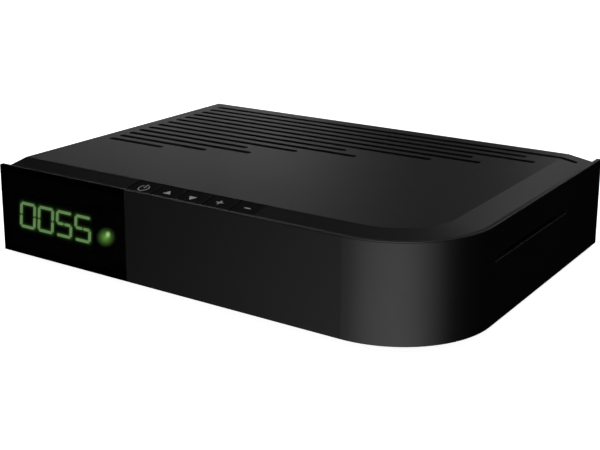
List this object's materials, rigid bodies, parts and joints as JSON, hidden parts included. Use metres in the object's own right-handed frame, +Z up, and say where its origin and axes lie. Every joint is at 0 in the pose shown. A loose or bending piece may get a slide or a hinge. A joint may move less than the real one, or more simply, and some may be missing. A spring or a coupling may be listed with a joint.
{
  "type": "satellite tv receiver",
  "caption": "Compact set-top satellite receiver: matt vented cover in a glossy wrap-round front band, keys on the sloping edge, lit digits, card slot and rear sockets.",
  "frame": {"origin": "middle of the bounding box, on the surface that the feet stand on", "axes": "+Z up, front face towards -Y, +X to the right as seen from the front"},
  "size_m": [0.22, 0.1718, 0.0427],
  "materials": {
    "gloss_black": "polished black moulding, deep gloss",
    "smoked_window": "smoked, polished panel",
    "case_black": "fine-grained matt black moulding",
    "key_black": "satin black moulding",
    "panel_black": "black powder-coated plate",
    "foot_rubber": "soft black rubber",
    "screw_steel": "zinc-plated steel",
    "socket_black": "black engineering plastic",
    "socket_white": "white engineering plastic",
    "board_green": "green solder mask on glass-fibre board",
    "display_black": "black-faced display and receiver housings",
    "light_green": "clear green resin, lit",
    "chip_black": "moulded package",
    "sink_aluminium": "extruded, plain",
    "capacitor_sleeve": "dark plastic sleeve",
    "tinned_steel": "pressed and tinned",
    "nickel": "nickel plating",
    "core_orange": "coloured plastic",
    "core_yellow": "coloured plastic",
    "core_white": "coloured plastic",
    "core_red": "coloured plastic",
    "contact_gold": "gold flash on spring bronze",
    "ribbon_grey": "grey flat cable",
    "plunger_white": "natural nylon"
  },
  "bodies": {
    "receiver": {"front_band": "gloss_black", "display_window": "smoked_window", "top_cover": "case_black", "bottom_case": "case_black", "rubber_feet": "foot_rubber", "case_screws": "screw_steel", "key_switches": "socket_black", "key_guide": "case_black", "key_board": "board_green", "front_board": "board_green", "digit_display": "display_black", "status_light": "light_green", "infrared_eye": "display_black", "small_screws": "screw_steel", "main_board": "board_green", "board_screws": "screw_steel", "processor": "chip_black", "heat_sink": "sink_aluminium", "memory_chips": "chip_black", "capacitors": "capacitor_sleeve", "coils": "chip_black", "tuner_can": "tinned_steel", "aerial_input": "nickel", "aerial_output": "nickel", "aerial_insulators": "socket_white", "aerial_nuts": "nickel", "phono_block": "socket_black", "phono_rings": "nickel", "digital_audio_core": "core_orange", "video_core": "core_yellow", "left_audio_core": "core_white", "right_audio_core": "core_red", "hdmi_socket": "tinned_steel", "usb_socket": "tinned_steel", "socket_tongues": "socket_black", "scart_socket": "socket_black", "dc_inlet": "socket_black", "dc_pin": "nickel", "rocker_frame": "socket_black", "rear_panel": "panel_black", "rear_screws": "screw_steel", "card_reader": "socket_black", "card_contacts": "contact_gold", "card_board": "board_green", "card_spacers": "socket_white", "front_ribbon": "ribbon_grey", "key_ribbon": "ribbon_grey", "ribbon_headers": "socket_white"},
    "standby_button": {"standby_key": "key_black", "standby_plunger": "plunger_white"},
    "up_button": {"up_key": "key_black", "up_plunger": "plunger_white"},
    "down_button": {"down_key": "key_black", "down_plunger": "plunger_white"},
    "plus_button": {"plus_key": "key_black", "plus_plunger": "plunger_white"},
    "minus_button": {"minus_key": "key_black", "minus_plunger": "plunger_white"},
    "rocker": {"power_rocker": "key_black"}
  },
  "joints": [
    {"name": "standby_press", "type": "slide", "parent": "receiver", "child": "standby_button", "axis": [0, 0, 1], "range_m": [-0.0003, 0], "stiffness_N_per_m": 4000, "springref_m": 0.0001},
    {"name": "up_press", "type": "slide", "parent": "receiver", "child": "up_button", "axis": [0, 0, 1], "range_m": [-0.0003, 0], "stiffness_N_per_m": 4000, "springref_m": 0.0001},
    {"name": "down_press", "type": "slide", "parent": "receiver", "child": "down_button", "axis": [0, 0, 1], "range_m": [-0.0003, 0], "stiffness_N_per_m": 4000, "springref_m": 0.0001},
    {"name": "plus_press", "type": "slide", "parent": "receiver", "child": "plus_button", "axis": [0, 0, 1], "range_m": [-0.0003, 0], "stiffness_N_per_m": 4000, "springref_m": 0.0001},
    {"name": "minus_press", "type": "slide", "parent": "receiver", "child": "minus_button", "axis": [0, 0, 1], "range_m": [-0.0003, 0], "stiffness_N_per_m": 4000, "springref_m": 0.0001},
    {"name": "rocker_tilt", "type": "hinge", "parent": "receiver", "child": "rocker", "pos_m": [0.09646, 0.0661, 0.0211], "axis": [1, 0, 0], "range_deg": [-20, 0]}
  ]
}
